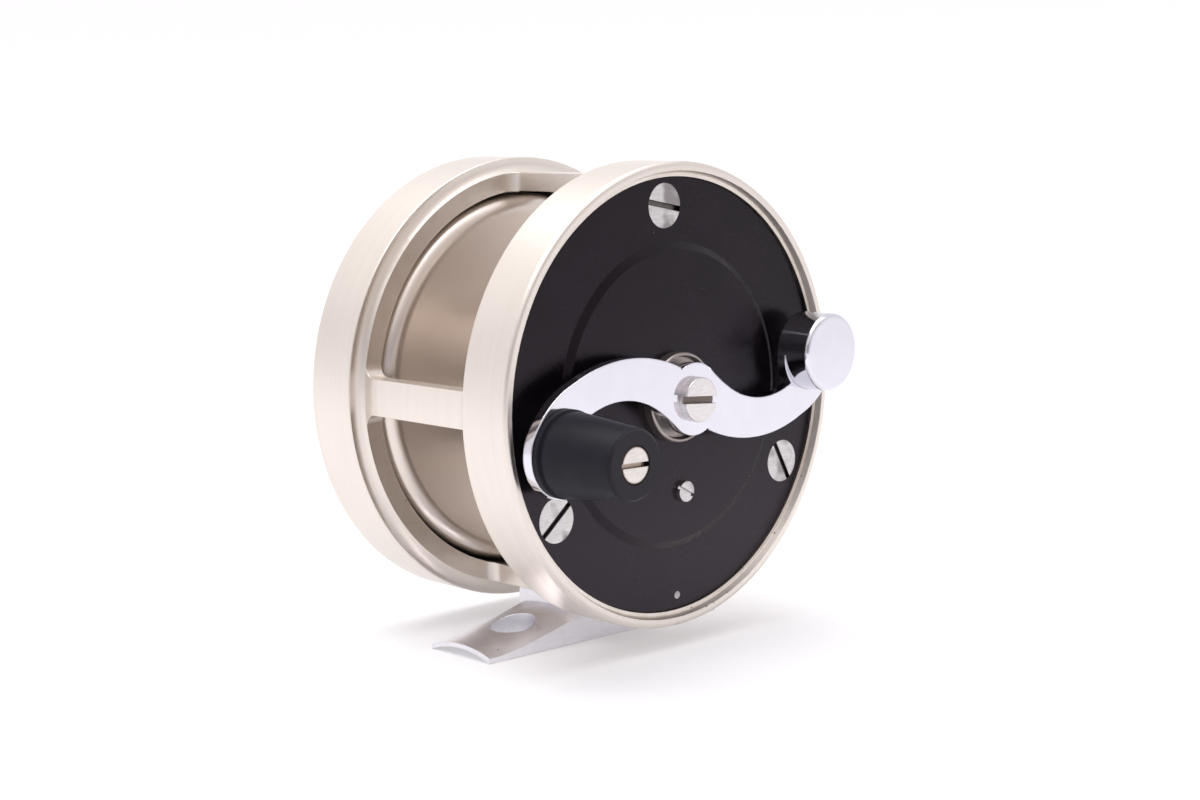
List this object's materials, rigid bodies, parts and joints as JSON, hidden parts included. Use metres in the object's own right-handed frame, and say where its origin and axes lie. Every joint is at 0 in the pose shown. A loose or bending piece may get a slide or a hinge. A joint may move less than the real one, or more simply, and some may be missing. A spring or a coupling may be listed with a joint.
{
  "type": "fly reel",
  "caption": "Fly fishing reel with a pillared ring frame, turned spool, S-shaped counterweighted crank with tapered knob, geared drive, lever brake, click and saddle foot.",
  "frame": {"origin": "centre of the foot, on the plane of the two lower edges that rest in a rod's reel seat", "axes": "+X along the foot (the rod's length), +Y along the spool axis away from the crank, +Z from the foot up to the spool"},
  "size_m": [0.0804, 0.072, 0.0842],
  "materials": {
    "frame_metal": "pale champagne satin, turned and brushed",
    "plate_black": "black anodised, satin",
    "screw_steel": "worn satin steel with dark slots",
    "collar_nickel": "worn nickel plate, semi-bright",
    "bearing_bronze": "turned bronze",
    "gear_brass": "cut brass",
    "shaft_steel": "ground steel",
    "crank_polish": "mirror polished",
    "knob_black": "matte blue-black",
    "spool_metal": "satin turned",
    "shoe_metal": "cast, plain",
    "lining": "plain",
    "foot_metal": "bare, slightly scratched"
  },
  "bodies": {
    "reel_frame": {"frame": "frame_metal", "front_plate": "plate_black", "front_plate_screws": "screw_steel", "plate_pin": "screw_steel", "gear_bulkhead": "frame_metal", "bulkhead_screws": "screw_steel", "front_bearing": "bearing_bronze", "crank_bushing": "collar_nickel", "idler_stud": "shaft_steel", "idler_screw": "screw_steel", "back_plate": "plate_black", "back_plate_screws": "screw_steel", "rear_bearing": "bearing_bronze", "bearing_cap": "collar_nickel", "brake_anchor_pins": "shaft_steel", "brake_spring": "shaft_steel", "brake_spring_post": "shaft_steel", "drag_stops": "shaft_steel", "click_spring": "shaft_steel", "click_spring_screw": "screw_steel", "foot_pedestal": "foot_metal", "reel_foot": "foot_metal", "foot_screws": "screw_steel"},
    "spool": {"spool": "spool_metal", "spool_shaft": "shaft_steel", "spool_pinion": "gear_brass", "ratchet_wheel": "shaft_steel", "brake_drum": "shaft_steel"},
    "crank": {"crank_arm": "crank_polish", "crank_screw": "screw_steel", "crank_shaft": "shaft_steel", "crank_gear": "gear_brass", "counterweight": "crank_polish", "knob_post": "shaft_steel", "knob_screw": "screw_steel"},
    "knob": {"handle_knob": "knob_black"},
    "idler": {"idler_bush": "bearing_bronze", "idler_small_gear": "gear_brass", "idler_large_gear": "gear_brass"},
    "drag_lever": {"brake_cam": "shaft_steel", "drag_lever": "crank_polish", "drag_lever_knob": "crank_polish", "drag_lever_screw": "screw_steel"},
    "brake_shoe_right": {"brake_shoe_right": "shoe_metal", "brake_lining_right": "lining"},
    "brake_shoe_left": {"brake_shoe_left": "shoe_metal", "brake_lining_left": "lining"},
    "click": {"click_pawl": "shaft_steel", "click_shaft": "shaft_steel", "click_lever": "crank_polish"}
  },
  "joints": [
    {"name": "spool_spin", "type": "hinge", "parent": "reel_frame", "child": "spool", "pos_m": [0, 0, 0.044], "axis": [0, -1, 0], "continuous": true},
    {"name": "crank_turn", "type": "hinge", "parent": "reel_frame", "child": "crank", "pos_m": [0, 0, 0.044], "axis": [0, -1, 0], "continuous": true},
    {"name": "knob_spin", "type": "hinge", "parent": "crank", "child": "knob", "pos_m": [-0.03036, -0.034, 0.038], "axis": [0, -1, 0], "continuous": true},
    {"name": "idler_spin", "type": "hinge", "parent": "reel_frame", "child": "idler", "pos_m": [0.00222, -0.0165, 0.02735], "axis": [0, -1, 0], "continuous": true},
    {"name": "drag_turn", "type": "hinge", "parent": "reel_frame", "child": "drag_lever", "pos_m": [0, 0.0265, 0.059], "axis": [0, 1, 0], "range_deg": [0, 90]},
    {"name": "brake_shoe_right_swing", "type": "hinge", "parent": "reel_frame", "child": "brake_shoe_right", "pos_m": [0.0034, 0.0208, 0.0296], "axis": [0, 1, 0], "range_deg": [0, 1.65]},
    {"name": "brake_shoe_left_swing", "type": "hinge", "parent": "reel_frame", "child": "brake_shoe_left", "pos_m": [-0.0034, 0.0208, 0.0296], "axis": [0, -1, 0], "range_deg": [0, 1.65]},
    {"name": "click_turn", "type": "hinge", "parent": "reel_frame", "child": "click", "pos_m": [-0.02546, 0.0265, 0.0587], "axis": [0, 1, 0], "range_deg": [0, 18]}
  ],
  "couplings": [
    {"joint": "crank_turn", "follows": "spool_spin", "ratio": 0.51},
    {"joint": "idler_spin", "follows": "spool_spin", "ratio": -0.75},
    {"joint": "brake_shoe_right_swing", "follows": "drag_turn", "ratio": 0.017778},
    {"joint": "brake_shoe_left_swing", "follows": "drag_turn", "ratio": 0.017778}
  ]
}
